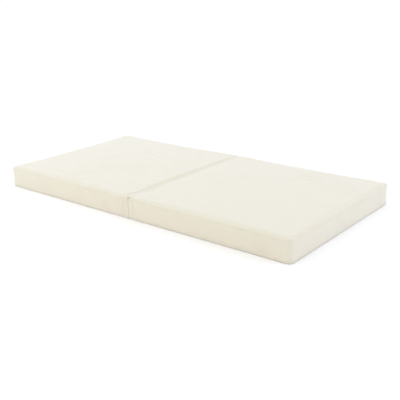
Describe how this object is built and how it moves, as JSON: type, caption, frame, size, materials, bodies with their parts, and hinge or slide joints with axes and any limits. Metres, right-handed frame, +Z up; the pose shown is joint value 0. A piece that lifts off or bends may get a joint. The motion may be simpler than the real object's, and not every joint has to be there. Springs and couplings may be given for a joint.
{
  "type": "folding memory foam mattress",
  "caption": "Slim folding guest mattress: two nearly square foam panels in cream zipped fabric covers, joined by a fabric hinge at the crease.",
  "frame": {"origin": "centre of the underside of the mattress lying flat, below the fold", "axes": "+X along the length towards the foot panel, +Y across the width towards the zips, +Z up"},
  "size_m": [1.905, 0.9795, 0.118],
  "materials": {
    "cover_top": "matte brushed velour",
    "cover_border": "matte brushed velour",
    "cover_base": "matte plain weave",
    "seam_thread": "matte twisted thread",
    "inner_sock": "matte fine knit",
    "memory_foam": "matte open-cell foam",
    "support_foam": "matte open-cell foam",
    "zip_tape": "matte woven tape",
    "zip_teeth": "satin nylon coil",
    "zip_metal": "satin nickel plate",
    "label": "satin ribbon"
  },
  "bodies": {
    "head_panel": {"head_top_panel": "cover_top", "head_border": "cover_border", "head_fold_border": "cover_border", "head_base_panel": "cover_base", "head_top_seam": "seam_thread", "head_bottom_seam": "seam_thread", "head_front_upright_seam": "seam_thread", "head_back_upright_seam": "seam_thread", "head_hinge_stitching": "seam_thread", "head_memory_foam": "memory_foam", "head_support_foam": "support_foam", "head_inner_sock": "inner_sock", "head_zip_tape_upper": "zip_tape", "head_zip_tape_lower": "zip_tape", "head_zip_teeth_upper": "zip_teeth", "head_zip_teeth_lower": "zip_teeth", "head_zip_stop_near": "zip_metal", "head_zip_stop_far": "zip_metal", "head_zip_end_tab_near": "cover_border", "head_zip_end_tab_far": "cover_border", "fold_hinge_tape": "cover_border", "head_care_label": "label"},
    "foot_panel": {"foot_top_panel": "cover_top", "foot_border": "cover_border", "foot_fold_border": "cover_border", "foot_base_panel": "cover_base", "foot_top_seam": "seam_thread", "foot_bottom_seam": "seam_thread", "foot_front_upright_seam": "seam_thread", "foot_back_upright_seam": "seam_thread", "foot_hinge_stitching": "seam_thread", "foot_memory_foam": "memory_foam", "foot_support_foam": "support_foam", "foot_inner_sock": "inner_sock", "foot_zip_tape_upper": "zip_tape", "foot_zip_tape_lower": "zip_tape", "foot_zip_teeth_upper": "zip_teeth", "foot_zip_teeth_lower": "zip_teeth", "foot_zip_stop_near": "zip_metal", "foot_zip_stop_far": "zip_metal", "foot_zip_end_tab_near": "cover_border", "foot_zip_end_tab_far": "cover_border"},
    "head_slider": {"head_zip_slider": "zip_metal"},
    "head_pull": {"head_zip_pull": "zip_metal"},
    "foot_slider": {"foot_zip_slider": "zip_metal"},
    "foot_pull": {"foot_zip_pull": "zip_metal"}
  },
  "joints": [
    {"name": "fold_hinge", "type": "hinge", "parent": "head_panel", "child": "foot_panel", "pos_m": [0, 0, 0.1185], "axis": [0, -1, 0], "range_deg": [0, 180], "deforming": ["fold_hinge_tape"]},
    {"name": "head_zip_travel", "type": "slide", "parent": "head_panel", "child": "head_slider", "axis": [-1, 0, 0], "range_m": [0, 0.756]},
    {"name": "head_pull_swing", "type": "hinge", "parent": "head_slider", "child": "head_pull", "pos_m": [-0.0816, 0.4911, 0.038], "axis": [1, 0, 0], "range_deg": [0, 175]},
    {"name": "foot_zip_travel", "type": "slide", "parent": "foot_panel", "child": "foot_slider", "axis": [1, 0, 0], "range_m": [0, 0.756]},
    {"name": "foot_pull_swing", "type": "hinge", "parent": "foot_slider", "child": "foot_pull", "pos_m": [0.0816, 0.4911, 0.038], "axis": [1, 0, 0], "range_deg": [0, 175]}
  ]
}
